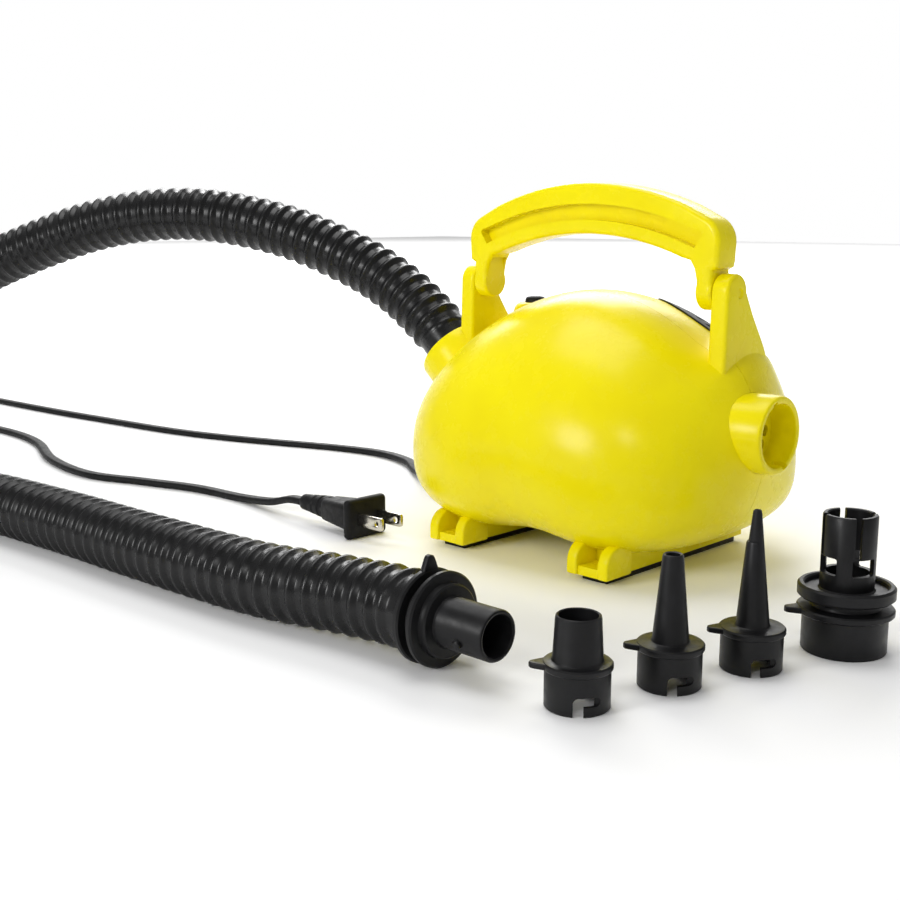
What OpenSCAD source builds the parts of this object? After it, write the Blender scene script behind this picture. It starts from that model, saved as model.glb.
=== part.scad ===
// Electric air mattress pump: a free-standing mains blower with a swinging carry
// handle, a corrugated hose, a mains cord and four valve adapters.
// Frame: origin on the floor under the middle of the housing, X along the motor
// shaft with the inlet port at +X, Y towards the back, Z up. Millimetres.

/* [Housing] */
// Length of the housing along the shaft, without the ports
body_l = 180; // [174:1:184]
// Depth of the housing, front to back
body_d = 146; // [140:1:150]
// Height of the fullest line of the housing above the floor
waist_z = 45; // [43:1:47]
// Height of the crown of the housing above the floor
crown_z = 122; // [120:1:122]
// Height of the underside of the housing above the floor
belly_z = 4; // [4:0.5:5]
// Thickness of the moulded wall
wall = 2.6; // [2:0.1:3]
// Height of the arch between the runners, above the underside
arch_h = 7; // [6:1:9]

/* [Handle] */
// Height of the hinge of the handle above the floor
hinge_z = 124; // [124:0.5:126]
// Distance of the inner face of each ear from the middle
ear_in = 69; // [69:0.5:70]
// Thickness of an ear
ear_t = 8.5; // [7:0.5:9]
// Depth of the handle, front to back
handle_d = 16; // [14:1:16]
// Height of the top of the handle above the floor
handle_top = 171; // [170:1:175]
// Radius of a hinge pin
pin_r = 2.5; // [2.5:0.1:3]

/* [Ports] */
// Height of the motor shaft and of the inlet port above the floor
shaft_z = 65; // [64:1:66]
// Outer radius of the inlet collar
inlet_r = 17.1; // [16.5:0.1:17.5]
// Radius of the bore of the inlet port
inlet_bore = 13.7; // [13:0.1:14]
// Outer radius of the outlet collar at its rim
outlet_r = 19; // [18.5:0.1:19.5]
// Radius of the bore of the outlet port
outlet_bore = 14.6; // [14.6:0.1:15]
// Angle of the outlet port above the horizontal
outlet_tilt = 42; // [40:1:44]

/* [Blower and motor] */
// Radius of the impeller
impeller_r = 34; // [30:1:34]
// Number of impeller blades
blades = 9; // [7:1:12]
// Radius of the motor frame
motor_r = 30; // [28:1:31]
// Radius of the motor shaft
shaft_r = 3; // [2.5:0.5:3]

/* [Hose] */
// Outside diameter of the corrugated hose
hose_d = 30; // [28:1:30]
// Radius of the spigot at the free end of the hose
spigot_r = 9.2; // [9.2:0.1:9.4]

/* [Mains cord] */
// Diameter of the round stand-in for the flat two-core cord
cord_d = 6; // [5:0.5:7]
// Radius of the put-away coil, to the middle of the cord
coil_r = 38; // [36:1:40]

/* [Adapters] */
// Radius of the skirt of the three cone adapters
skirt_r = 10.9; // [10.8:0.1:11.2]
// Height of the skirt of an adapter
skirt_h = 13; // [12:0.5:14]

/* [Hidden] */

YELLOW = "#EFE100";
BLACK = "#1C1C1E";
STEEL = "#B8BCC0";
COPPER = "#B4622D";

split_y = 1;
body_y = 8;
big = 400;
fine = 72;
soft = 32;

// ---- housing surface -------------------------------------------------------
// A lofted super-ellipse: u runs from end to end, t around the section.
// inset shrinks the surface evenly to give the inner face of the wall.
upper_n = 2.1;
lower_n = 3.0;
upper_end = 2.0;
lower_end = 2.5;
plan_end = 2.7;
crown_narrow = 9;
function power(v, e) = sign(v) * pow(abs(v), e);
function fall(u, m) = pow(max(0, 1 - pow(abs(u), m)), 1 / m);
function bump(v, s) = exp(-pow(v / s, 2));
function skin(u, t, inset) =
  let (up = sin(t) > 0,
    n = up ? upper_n : lower_n,
    h = (up ? crown_z - waist_z : waist_z - belly_z) - inset,
    z0 = waist_z + h * fall(u, up ? upper_end : lower_end) * power(sin(t), 2 / n),
    narrow = crown_narrow * pow(max(0, (z0 - waist_z) / (crown_z - waist_z)), 2),
    x0 = (body_l / 2 - inset - narrow) * u,
    side = fall(u, plan_end) * power(cos(t), 2 / n),
    y0 = body_y + (body_d / 2 - inset - narrow) * side,
    dip = 6 * bump(x0 - 4, 30) * bump(z0 - 14, 26) * max(0, -cos(t)),
    lift = arch_h * bump(x0, 30) * max(0, -sin(t)),
    shoulder = (x0 > 0 ? 15 : 8) * bump(abs(x0) - 77, 11) * bump(y0 - 22, 34)
      * min(1, max(0, (z0 - 55) / 25)),
    swell = x0 > 0 ? 7 * bump(norm([y0 - split_y, z0 - shaft_z]), 20) * bump(x0 - 90, 20) : 0)
  [x0 + swell, y0 + dip, z0 + lift + shoulder];

rings = 24;
around = 40;
module housing_solid(inset) {
  inner = [for (i = [1 : rings - 1], j = [0 : around - 1])
    skin(-cos(180 * i / rings), 360 * j / around, inset)];
  pts = concat(inner, [skin(-1, 0, inset), skin(1, 0, inset)]);
  last = len(pts) - 1;
  sides = [for (i = [0 : rings - 3], j = [0 : around - 1])
    let (a = i * around + j, b = i * around + (j + 1) % around)
    each [[a, a + around, b], [b, a + around, b + around]]];
  ends = [for (j = [0 : around - 1])
    let (k = (j + 1) % around, top = (rings - 2) * around)
    each [[last - 1, j, k], [last, top + k, top + j]]];
  polyhedron(points = pts, faces = concat(sides, ends), convexity = 6);
}

// ---- helpers -----------------------------------------------------------------
module along_x(x, y, z) translate([x, y, z]) rotate([0, 90, 0]) children();
module along_y(x, y, z) translate([x, y, z]) rotate([-90, 0, 0]) children();
module on_shaft(x) along_x(x, split_y, shaft_z) children();
module ring(r_out, r_in, h) difference() {
  cylinder(r = r_out, h = h, $fn = fine);
  translate([0, 0, -1]) cylinder(r = r_in, h = h + 2, $fn = fine);
}
outlet_rim = [-90, split_y, 88];
outlet_dir = [-cos(outlet_tilt), 0, sin(outlet_tilt)];
module on_outlet(s) translate(outlet_rim + s * outlet_dir)
  rotate([0, outlet_tilt - 90, 0]) children();

// ---- sweeping a round tube along a list of points -----------------------------
function unit(v) = v / norm(v);
function at(p, i) = p[max(0, min(len(p) - 1, i))];
function blend_point(p, i, f) =
  let (a = at(p, i - 1), b = p[i], c = at(p, i + 1), d = at(p, i + 2))
  0.5 * (2 * b + (c - a) * f + (2 * a - 5 * b + 4 * c - d) * f * f
    + (3 * b - a - 3 * c + d) * f * f * f);
function smooth(p, steps) = concat(
  [for (i = [0 : len(p) - 2], k = [0 : steps - 1]) blend_point(p, i, k / steps)],
  [p[len(p) - 1]]);
function side_of(v) = let (s = cross(v, [0, 0, 1])) norm(s) < 0.01 ? [0, 1, 0] : unit(s);
module tube(path, r, sides) {
  n = len(path);
  pts = [for (i = [0 : n - 1])
    let (dir = unit(at(path, i + 1) - at(path, i - 1)), s = side_of(dir), w = cross(s, dir))
    for (j = [0 : sides - 1])
      path[i] + r * (cos(360 * j / sides) * s + sin(360 * j / sides) * w)];
  skins = [for (i = [0 : n - 2], j = [0 : sides - 1])
    let (a = i * sides + j, b = i * sides + (j + 1) % sides)
    each [[a, b, b + sides], [a, b + sides, a + sides]]];
  caps = [[for (j = [sides - 1 : -1 : 0]) j], [for (j = [0 : sides - 1]) (n - 1) * sides + j]];
  polyhedron(points = pts, faces = concat(skins, caps), convexity = 8);
}

// ---- routes of the hose and the cord -------------------------------------------
hose_r = hose_d / 2;
hose_route = [outlet_rim, outlet_rim + 8 * outlet_dir, outlet_rim + 16 * outlet_dir,
  [-128, -1, 117], [-160, -8, 133], [-205, -24, 149], [-258, -46, 157], [-313, -70, 151],
  [-377, -98, 130], [-430, -114, 108], [-485, -126, 82], [-538, -146, 55], [-580, -184, 32],
  [-600, -236, 19], [-592, -290, 15], [-556, -336, 15], [-500, -358, 15], [-442, -348, 15],
  [-392, -312, 15], [-350, -264, 15], [-304, -219, 15], [-246, -192, 15], [-170, -184, 15],
  [-100, -182, 15], [-28, -178, 15], [16, -171, 16.4], [44, -168, 17.4], [52, -168, 17.4],
  [60, -168, 17.4]];

coil_at = [-722, -22];
cord_out = [[-108, 20, 25], [-116, 20.6, 24.4], [-126, 25, 21], [-146, 37, 11], [-172, 54, 3.6],
  [-200, 72, 3], [-234, 80, 3], [-272, 74, 3], [-318, 58, 3], [-362, 44, 3], [-410, 34, 3],
  [-470, 28, 3], [-540, 22, 3], [-620, 18, 3], [-697, 16, 3]];
cord_back = [[-697, -60, 9.6], [-650, -60, 5], [-600, -58, 3], [-540, -52, 3], [-480, -50, 3],
  [-430, -58, 3], [-370, -80, 3], [-313, -88, 3], [-270, -76, 3], [-232, -65, 3],
  [-196, -62, 3], [-164, -64, 6], [-146, -65, 10], [-134, -65, 10]];

// ---- housing ---------------------------------------------------------------------
// Oval opening in the back of the crown for the black vent.
vent_at = [38, 34, 60];
module vent_prism() translate(vent_at) rotate(-10) linear_extrude(height = 80)
  polygon([for (a = [0 : 10 : 350]) [24 * cos(a), 15 * sin(a)]]);

// Push button boss on the back of the crown, left of the middle.
switch_at = [-51, 20, 0];
switch_top = 113;
switch_floor = 100;
module switch_block() translate([switch_at[0], switch_at[1], switch_floor - 6])
  cube([9, 12, 12], center = true);
button_r = 5.2;
button_rest = 103;

// Screw posts that join the shells: [x, z, depth of the screw head].
posts = [[-64, 27, 34], [64, 27, 34], [-24, 112, 18], [20, 112, 16]];
screw_r = 1.5;
head_r = 3;
module shell_posts() for (p = posts)
  along_y(p[0], -70, p[1]) cylinder(r = 3.8, h = 160, $fn = soft);
module post_holes() for (p = posts) {
  along_y(p[0], -12, p[1]) cylinder(r = screw_r, h = 60, $fn = soft);
  along_y(p[0], p[2], p[1]) cylinder(r = head_r, h = 90, $fn = soft);
}

// Ribs across the inside that hold the fan case and the tail of the motor.
rib_t = 4;
fan_rib_x = 30;
tail_rib_x = -46;
fan_case_r = 37;
tail_r = 22;
tail_ring = 2;
module ribs() difference() {
  for (x = [fan_rib_x, tail_rib_x]) translate([x, -100, 0]) cube([rib_t, 200, 140]);
  on_shaft(fan_rib_x - 1) cylinder(r = fan_case_r, h = rib_t + 2, $fn = fine);
  on_shaft(tail_rib_x - 1) cylinder(r = tail_r + tail_ring, h = rib_t + 2, $fn = fine);
  translate([tail_rib_x - 1, 8, 83]) cube([rib_t + 2, 24, 40]);
}
// Sleeve of the shells around the root of the outlet collar.
sleeve_r = outlet_r - 2.4;
module sleeve() on_outlet(-30) cylinder(r = outlet_r, h = 24, $fn = fine);
module sleeve_hole() on_outlet(-44) cylinder(r = sleeve_r, h = 60, $fn = fine);

gland_at = [-91, 20, 25];
gland_r = 5.5;
module shell_stock() difference() {
  union() {
    difference() {
      union() {
        housing_solid(0);
        sleeve();
      }
      housing_solid(wall);
    }
    intersection() {
      housing_solid(wall / 2);
      union() {
        shell_posts();
        ribs();
      }
    }
  }
  post_holes();
  on_shaft(66) cylinder(r = inlet_r, h = 40, $fn = fine);
  sleeve_hole();
}

// Ears that carry the handle: round on top and spreading towards the back.
ear_r = 8;
ear_foot = 84;
function ear_outline() = concat(
  [[split_y - 9, ear_foot], [split_y + 33, ear_foot], [split_y + 24, 100], [split_y + 14, 114]],
  [for (a = [0 : 10 : 180]) [split_y + ear_r * cos(a), hinge_z + ear_r * sin(a)]]);
module ears() for (s = [0, 1]) mirror([s, 0, 0]) translate([ear_in, 0, 0])
  rotate([90, 0, 90]) linear_extrude(height = ear_t) polygon(ear_outline());

module front_shell() color(YELLOW) union() {
  intersection() {
    shell_stock();
    translate([-big, split_y - big, -1]) cube([2 * big, big, 200]);
  }
  difference() {
    ears();
    housing_solid(wall);
    along_x(-100, split_y, hinge_z) cylinder(r = pin_r, h = 200, $fn = fine);
    sleeve_hole();
    on_outlet(-6) cylinder(r = outlet_r + 0.3, h = 9, $fn = fine);
  }
}

module rear_shell() color(YELLOW) difference() {
  union() {
    intersection() {
      shell_stock();
      translate([-big, split_y, -1]) cube([2 * big, big, 200]);
    }
    difference() {
      union() {
        translate([switch_at[0], switch_at[1], 90]) cylinder(r = 11, h = switch_top - 92, $fn = fine);
        translate([switch_at[0], switch_at[1], 90]) cylinder(r = 9, h = switch_top - 90, $fn = fine);
        translate([switch_at[0] + 17, switch_at[1] + 2, 107]) sphere(r = 9, $fn = soft);
      }
      housing_solid(wall);
    }
    translate([switch_at[0], switch_at[1], switch_floor]) cylinder(r = 9, h = 6, $fn = fine);
  }
  ears();
  vent_prism();
  translate([switch_at[0], switch_at[1], 80]) cylinder(r = button_r + 0.1, h = 50, $fn = fine);
  switch_block();
  along_x(-110, gland_at[1], gland_at[2]) cylinder(r = gland_r, h = 60, $fn = fine);
}

// Louvred vent that follows the curve of the crown.
module vent_grille() color(BLACK) difference() {
  intersection() {
    difference() {
      housing_solid(-0.8);
      housing_solid(1.8);
    }
    vent_prism();
  }
  for (i = [-2 : 2]) translate(vent_at) rotate(-10)
    translate([6 * i - 1.2, -9, 0]) cube([2.4, 18, 80]);
}

// ---- ports ---------------------------------------------------------------------
inlet_rim_x = 100.7;
grille_x = 86;
eye_r = 13;
module inlet_collar() color(YELLOW) {
  difference() {
    on_shaft(66) cylinder(r = inlet_r, h = inlet_rim_x - 66, $fn = fine);
    on_shaft(grille_x + 2.4) cylinder(r = inlet_bore, h = 40, $fn = fine);
    on_shaft(60) cylinder(r = eye_r, h = grille_x - 60, $fn = fine);
    for (a = [0 : 45 : 315]) on_shaft(grille_x - 1) rotate(a) translate([8.6, 0, 0])
      cylinder(r = 2.5, h = 6, $fn = 24);
    on_shaft(grille_x - 1) cylinder(r = 3, h = 6, $fn = 24);
    for (a = [70, 250]) on_shaft(inlet_rim_x - 6) rotate(a)
      translate([inlet_bore - 1, -1.7, 0]) cube([3, 3.4, 7]);
  }
  difference() {
    on_shaft(52) cylinder(r = eye_r + 2, h = 14, $fn = fine);
    on_shaft(51) cylinder(r = eye_r, h = 16, $fn = fine);
  }
}

module outlet_collar() color(YELLOW) on_outlet(0) rotate_extrude($fn = fine)
  polygon([[outlet_bore, -26], [sleeve_r, -26], [sleeve_r, -6], [outlet_r, -6],
    [outlet_r, 0], [outlet_bore, 0]]);

// ---- handle ----------------------------------------------------------------------
grip_curve = 148;
arm_out = ear_in - 0.3;
arm_in = 61;
function arc_z(x, top, r) = top - r + sqrt(r * r - x * x);
function mirror_x(p) = [for (i = [len(p) - 1 : -1 : 0]) [-p[i][0], p[i][1]]];
function handle_outline() =
  let (right = concat(
    [for (x = [8 : 8 : 56]) [x, arc_z(x, handle_top, grip_curve)]],
    [for (a = [60 : -12 : 0]) [60.5 + 11.5 * cos(a), handle_top - 26 + 11.5 * sin(a)]],
    [[71.6, hinge_z + 11], [arm_out, hinge_z + 9.4], [arm_out, hinge_z - 2],
     [arm_in, hinge_z - 2], [60.4, hinge_z + 5]],
    [for (x = [56 : -8 : 8]) [x, arc_z(x, handle_top - 23, grip_curve + 1)]]))
  concat([[0, handle_top]], right, [[0, handle_top - 23]], mirror_x(right));
function slot_outline() =
  let (right = concat([for (x = [0 : 10 : 60]) [x, arc_z(x, handle_top - 9.5, 165)]],
    [[65.5, handle_top - 23]], [for (x = [57 : -9.5 : 0]) [x, arc_z(x, handle_top - 16.8, 160)]]))
  concat(right, mirror_x(right));
module handle() color(YELLOW) difference() {
  union() {
    translate([0, split_y + handle_d / 2, 0]) rotate([90, 0, 0])
      linear_extrude(height = handle_d) polygon(handle_outline());
    for (x = [-arm_out, arm_in]) along_x(x, split_y, hinge_z)
      cylinder(r = handle_d / 2, h = arm_out - arm_in, $fn = fine);
  }
  for (y = [split_y - handle_d / 2 + 5, split_y + handle_d / 2 + 1])
    translate([0, y, 0]) rotate([90, 0, 0]) linear_extrude(height = 6) polygon(slot_outline());
  along_x(-80, split_y, hinge_z) cylinder(r = pin_r + 0.06, h = 160, $fn = fine);
}

module handle_pins() color(STEEL)
  for (x = [-ear_in - ear_t + 1, arm_in + 0.6]) along_x(x, split_y, hinge_z)
    cylinder(r = pin_r, h = ear_in + ear_t - 1.6 - arm_in, $fn = fine);

// ---- runners and pads --------------------------------------------------------------
runner_x = 42.2;
runner_w = 16;
pad_h = 3;
pad_w = 13.4;
runner_front = -54;
runner_back = 58;
lug_r = 3.9;
lug_top = 17;
module runner() difference() {
  union() {
    translate([-runner_w / 2, runner_front + 14, pad_h])
      cube([runner_w, runner_back - runner_front - 14, 14]);
    translate([-7.2, runner_front + 1.5, pad_h]) cube([14.4, 16, 4]);
    for (x = [-7.2, 7.2]) {
      translate([x - lug_r, runner_front, pad_h]) cube([2 * lug_r, 16, lug_top - lug_r - pad_h]);
      along_y(x, runner_front, lug_top - lug_r) cylinder(r = lug_r, h = 16, $fn = soft);
    }
  }
  children();
}
module runner_left() color(YELLOW) difference() {
  translate([-runner_x, 0, 0]) runner();
  housing_solid(0);
}
module runner_right() color(YELLOW) difference() {
  translate([runner_x, 0, 0]) runner();
  housing_solid(0);
}
module pad() color(BLACK) translate([-pad_w / 2, runner_front + 6, 0])
  cube([pad_w, runner_back - runner_front - 10, pad_h]);
module pad_left() translate([-runner_x, 0, 0]) pad();
module pad_right() translate([runner_x, 0, 0]) pad();

// ---- switch --------------------------------------------------------------------------
module switch_body() color(BLACK) switch_block();
module switch_button() color(BLACK) translate([switch_at[0], switch_at[1], button_rest])
  cylinder(r = button_r, h = switch_top + 3 - button_rest, $fn = fine);

// ---- blower ----------------------------------------------------------------------------
case_x = 50;
module fan_cover() color(BLACK) difference() {
  on_shaft(fan_rib_x) cylinder(r = fan_case_r, h = case_x - fan_rib_x + 2, $fn = fine);
  on_shaft(fan_rib_x - 1) cylinder(r = fan_case_r - 2, h = case_x - fan_rib_x + 1, $fn = fine);
  on_shaft(case_x - 1) cylinder(r = eye_r, h = 6, $fn = fine);
}

impeller_x = 36;
module impeller() color("#2A2A2C") {
  difference() {
    union() {
      on_shaft(impeller_x) cylinder(r = impeller_r, h = 1.6, $fn = fine);
      on_shaft(impeller_x) cylinder(r = 6, h = 12, $fn = fine);
    }
    on_shaft(impeller_x - 1) cylinder(r = shaft_r, h = 20, $fn = fine);
  }
  for (i = [0 : blades - 1]) on_shaft(impeller_x + 1.6) rotate(360 / blades * i)
    intersection() {
      translate([-14, 10, 0]) ring(27, 25.6, 8.4);
      translate([8, 0, 0]) cube([30, 24, 9]);
      cylinder(r = impeller_r, h = 9, $fn = fine);
    }
}

bearing_r = 8;
front_bearing_x = 18;
tail_bearing_x = -56;
bearing_w = 6;
module diffuser() color("#D8D8D4") difference() {
  union() {
    on_shaft(fan_rib_x) cylinder(r = fan_case_r - 2, h = 3, $fn = fine);
    on_shaft(front_bearing_x) cylinder(r = bearing_r + 3, h = fan_rib_x - front_bearing_x + 1, $fn = fine);
  }
  on_shaft(front_bearing_x - 1) cylinder(r = bearing_r, h = bearing_w + 1, $fn = fine);
  on_shaft(front_bearing_x) cylinder(r = shaft_r + 1, h = 30, $fn = fine);
  for (a = [0 : 40 : 320]) on_shaft(fan_rib_x - 1) rotate(a) translate([20, 0, 0])
    cylinder(r = 4.4, h = 6, $fn = 24);
}

// ---- motor -------------------------------------------------------------------------------
core_x = -28;
core_l = 36;
frame_x = tail_rib_x + rib_t + 2;
module motor_frame() color(STEEL) difference() {
  on_shaft(frame_x) cylinder(r = motor_r, h = fan_rib_x - frame_x, $fn = fine);
  on_shaft(frame_x - 1) cylinder(r = 21, h = fan_rib_x - frame_x + 2, $fn = fine);
  on_shaft(frame_x - 1) cylinder(r = motor_r - 1.6, h = core_x - frame_x + 1, $fn = fine);
  on_shaft(core_x + core_l) cylinder(r = motor_r - 1.6, h = 60, $fn = fine);
  for (a = [0 : 60 : 300]) on_shaft(core_x + core_l + 5) rotate(a)
    translate([20, -6, 0]) cube([20, 12, 12]);
}
module field_windings() color(COPPER)
  for (x = [core_x - 7, core_x + core_l]) on_shaft(x) ring(27.5, 21.5, 7);
module armature() color("#8A8D90") difference() {
  on_shaft(core_x) cylinder(r = 20, h = core_l, $fn = fine);
  on_shaft(core_x - 1) cylinder(r = shaft_r, h = core_l + 2, $fn = fine);
  for (a = [0 : 30 : 330]) on_shaft(core_x - 1) rotate(a) translate([15, -1.2, 0])
    cube([8, 2.4, core_l + 2]);
}
module commutator() color(COPPER) on_shaft(-44) ring(9, shaft_r, 11);
module shaft() color(STEEL) on_shaft(-57) cylinder(r = shaft_r, h = 105, $fn = fine);
module bearings() color(STEEL) for (x = [tail_bearing_x, front_bearing_x])
  on_shaft(x) ring(bearing_r, shaft_r + 0.05, bearing_w);
module end_bracket() color(BLACK) {
  difference() {
    on_shaft(-58) cylinder(r = tail_r, h = 16, $fn = fine);
    on_shaft(tail_bearing_x + bearing_w) cylinder(r = tail_r - 2, h = 20, $fn = fine);
    on_shaft(tail_bearing_x) cylinder(r = bearing_r, h = 20, $fn = fine);
    on_shaft(-60) cylinder(r = shaft_r + 1, h = 20, $fn = fine);
  }
  on_shaft(frame_x - 2) ring(motor_r, tail_r - 2, 2);
}
module motor_ring() color(BLACK) on_shaft(tail_rib_x) ring(tail_r + tail_ring, tail_r, rib_t);
brush_x = -43;
module brush_holders() color("#C9A24A") for (s = [0, 180]) on_shaft(brush_x) rotate(s)
  difference() {
    translate([9.6, -3.6, 0]) cube([10.12, 7.2, 7]);
    translate([9, -2.6, 1]) cube([12, 5.2, 5]);
  }
module brushes() color("#3A3A3C") for (s = [0, 180]) on_shaft(brush_x) rotate(s)
  translate([9.2, -2.6, 1]) cube([8, 5.2, 5]);

module shell_screws() color(STEEL) for (p = posts) {
  along_y(p[0], -11, p[1]) cylinder(r = screw_r, h = p[2] + 11, $fn = soft);
  along_y(p[0], p[2], p[1]) cylinder(r = head_r - 0.2, h = 2, $fn = soft);
}

// ---- hose --------------------------------------------------------------------------------
module hose_connector() color(BLACK) difference() {
  on_outlet(-18) cylinder(r = outlet_bore - 0.02, h = 18, $fn = fine);
  on_outlet(-19) cylinder(r = outlet_bore - 2.5, h = 20, $fn = fine);
}
module hose_tube() color(BLACK) tube(smooth(hose_route, 2), hose_r, 12);

// Fitting at the free end: two discs, the first with a pointed tab, and a spigot.
hose_end_x = 60;
hose_axis = [0, -168, 17.4];
spigot_end_x = 94;
tab_l = 5;
module on_hose(x) along_x(x, hose_axis[1], hose_axis[2]) children();
module tab(r) rotate(180) linear_extrude(height = 2.6)
  polygon([[0, -5], [r + tab_l, -1.2], [r + tab_l, 1.2], [0, 5]]);
module hose_end() color(BLACK) difference() {
  union() {
    on_hose(hose_end_x) cylinder(r = 17.3, h = 2.6, $fn = fine);
    on_hose(hose_end_x) tab(17.3);
    on_hose(hose_end_x + 2) cylinder(r = 13.4, h = 10, $fn = fine);
    on_hose(hose_end_x + 6.4) cylinder(r = 17.3, h = 2.6, $fn = fine);
    on_hose(hose_end_x + 12) cylinder(r = spigot_r, h = spigot_end_x - hose_end_x - 12, $fn = fine);
    on_hose(hose_end_x + 22) rotate(-70) translate([spigot_r - 1, -1.4, 0]) cube([2, 2.8, 2.8]);
  }
  on_hose(hose_end_x - 1) cylinder(r = spigot_r - 1.8, h = 60, $fn = fine);
}

// ---- mains cord and plug ---------------------------------------------------------------------
cord_r = cord_d / 2;
module cord_gland() color(BLACK) difference() {
  union() {
    along_x(-90, gland_at[1], gland_at[2]) cylinder(r = gland_r, h = 18, $fn = fine);
    along_x(-91, gland_at[1], gland_at[2]) cylinder(r = gland_r + 1.5, h = 2, $fn = fine);
    along_x(-108, gland_at[1], gland_at[2]) cylinder(r1 = 4.2, r2 = gland_r, h = 18, $fn = fine);
  }
  along_x(-84, gland_at[1], gland_at[2]) cylinder(r = cord_r, h = 20, $fn = fine);
}
module cord_tube() color(BLACK) {
  tube(smooth(cord_out, 2), cord_r, 8);
  tube(smooth(cord_back, 2), cord_r, 8);
}
module cord_coil() color(BLACK) translate([coil_at[0], coil_at[1], 0])
  rotate_extrude($fn = 48) translate([coil_r - 4, 0]) square([8, 12]);

plug_at = [-85, -65, 10];
module plug_body() color(BLACK) translate(plug_at) {
  translate([-5, -13, -10]) cube([5, 26, 20]);
  translate([-28, -10.5, -7]) cube([23, 21, 14]);
  rotate([0, -90, 0]) translate([0, 0, 28]) cylinder(r1 = 6, r2 = 3.6, h = 21, $fn = fine);
}
blade_gap = 6.35;
module plug_blades() color(STEEL) translate(plug_at) for (s = [-1, 1]) difference() {
  translate([0, s * blade_gap - 0.75, -3.175]) cube([17.5, 1.5, 6.35]);
  translate([13.5, s * blade_gap - 2, 0]) rotate([-90, 0, 0]) cylinder(r = 1.5, h = 4, $fn = 24);
}

// ---- adapters --------------------------------------------------------------------------------
adapter_wall = 1.6;
flange_h = 2.4;
// Skirt with two J-shaped slots that lock over the pins of the spigot.
module skirt(r, bore) {
  difference() {
    union() {
      cylinder(r = r, h = skirt_h, $fn = fine);
      translate([0, 0, skirt_h]) cylinder(r = r + 0.7, h = flange_h, $fn = fine);
      translate([0, 0, skirt_h]) rotate(44) tab(r);
    }
    translate([0, 0, -1]) cylinder(r = bore, h = skirt_h + 1, $fn = fine);
    translate([0, 0, skirt_h - 1]) cylinder(r = 4, h = 10, $fn = fine);
    for (s = [0, 180]) rotate(s - 50) {
      translate([bore - 1, -1.6, -1]) cube([6, 3.2, 7.4]);
      translate([bore - 2.4, -1.6, 3.2]) cube([6, 7, 3.2]);
    }
  }
}
module cone_adapter(base_r, tip_r, top) {
  skirt(skirt_r, spigot_r + 0.15);
  z0 = skirt_h + flange_h;
  translate([0, 0, z0]) difference() {
    cylinder(r1 = base_r, r2 = tip_r, h = top - z0, $fn = fine);
    translate([0, 0, -0.01]) cylinder(r1 = min(base_r - adapter_wall, spigot_r - 3.3),
      r2 = max(0.6, tip_r - 1.1), h = top - z0 + 0.02, $fn = fine);
  }
}
module adapter_short() color(BLACK) translate([124, -163, 0]) cone_adapter(8.3, 7.5, 31);
module adapter_long() color(BLACK) translate([135, -127, 0]) cone_adapter(6.2, 3.5, 46);
module adapter_fine() color(BLACK) translate([146, -93, 0]) {
  cone_adapter(5.8, 2.9, 46.5);
  translate([0, 0, 46]) difference() {
    cylinder(r1 = 2.2, r2 = 1.3, h = 11, $fn = fine);
    translate([0, 0, -1]) cylinder(r = 0.7, h = 20, $fn = fine);
  }
}
valve_r = 9.7;
valve_top = 51;
module adapter_valve() color(BLACK) translate([160, -52, 0]) difference() {
  union() {
    cylinder(r = 15.3, h = 14, $fn = fine);
    translate([0, 0, 14]) cylinder(r = 17.4, h = 2.6, $fn = fine);
    translate([0, 0, 14]) rotate(44) tab(17.4);
    translate([0, 0, 16]) cylinder(r = 12.5, h = 5, $fn = fine);
    translate([0, 0, 20]) cylinder(r = 17.4, h = 5, $fn = fine);
    cylinder(r = valve_r, h = valve_top, $fn = fine);
  }
  translate([0, 0, 23]) ring(14.8, valve_r, 4);
  translate([0, 0, -1]) cylinder(r = 13.6, h = 12, $fn = fine);
  translate([0, 0, -1]) cylinder(r = valve_r - 1.9, h = 60, $fn = fine);
  for (a = [-44, 46]) rotate(a) {
    translate([-1.1, -12, 39]) cube([2.2, 24, 20]);
    translate([-4.6, -12, 29.5]) cube([9.2, 24, 6]);
  }
}

front_shell();
rear_shell();
inlet_collar();
outlet_collar();
handle();
handle_pins();
runner_left();
runner_right();
pad_left();
pad_right();
vent_grille();
switch_body();
switch_button();
fan_cover();
impeller();
diffuser();
motor_frame();
field_windings();
armature();
commutator();
shaft();
bearings();
end_bracket();
brush_holders();
brushes();
motor_ring();
shell_screws();
cord_gland();
hose_connector();
hose_tube();
hose_end();
cord_tube();
cord_coil();
plug_body();
plug_blades();
adapter_short();
adapter_long();
adapter_fine();
adapter_valve();
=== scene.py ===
import math

import bmesh
import bpy
from mathutils import Matrix, Vector


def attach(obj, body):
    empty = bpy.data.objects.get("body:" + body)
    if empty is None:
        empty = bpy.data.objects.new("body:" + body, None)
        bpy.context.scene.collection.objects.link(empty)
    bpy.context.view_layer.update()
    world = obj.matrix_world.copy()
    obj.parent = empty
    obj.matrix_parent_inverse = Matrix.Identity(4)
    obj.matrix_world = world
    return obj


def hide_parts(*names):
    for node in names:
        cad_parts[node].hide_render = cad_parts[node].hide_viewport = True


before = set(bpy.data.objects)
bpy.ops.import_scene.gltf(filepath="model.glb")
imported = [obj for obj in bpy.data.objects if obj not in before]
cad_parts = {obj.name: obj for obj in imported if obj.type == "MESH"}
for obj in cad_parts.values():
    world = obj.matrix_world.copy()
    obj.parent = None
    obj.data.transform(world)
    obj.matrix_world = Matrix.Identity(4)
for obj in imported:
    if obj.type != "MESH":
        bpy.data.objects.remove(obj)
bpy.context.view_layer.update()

# Pieces are shaped in millimetres and brought to metres when they are set in place.
MM = 0.001
BODY = "housing"

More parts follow.
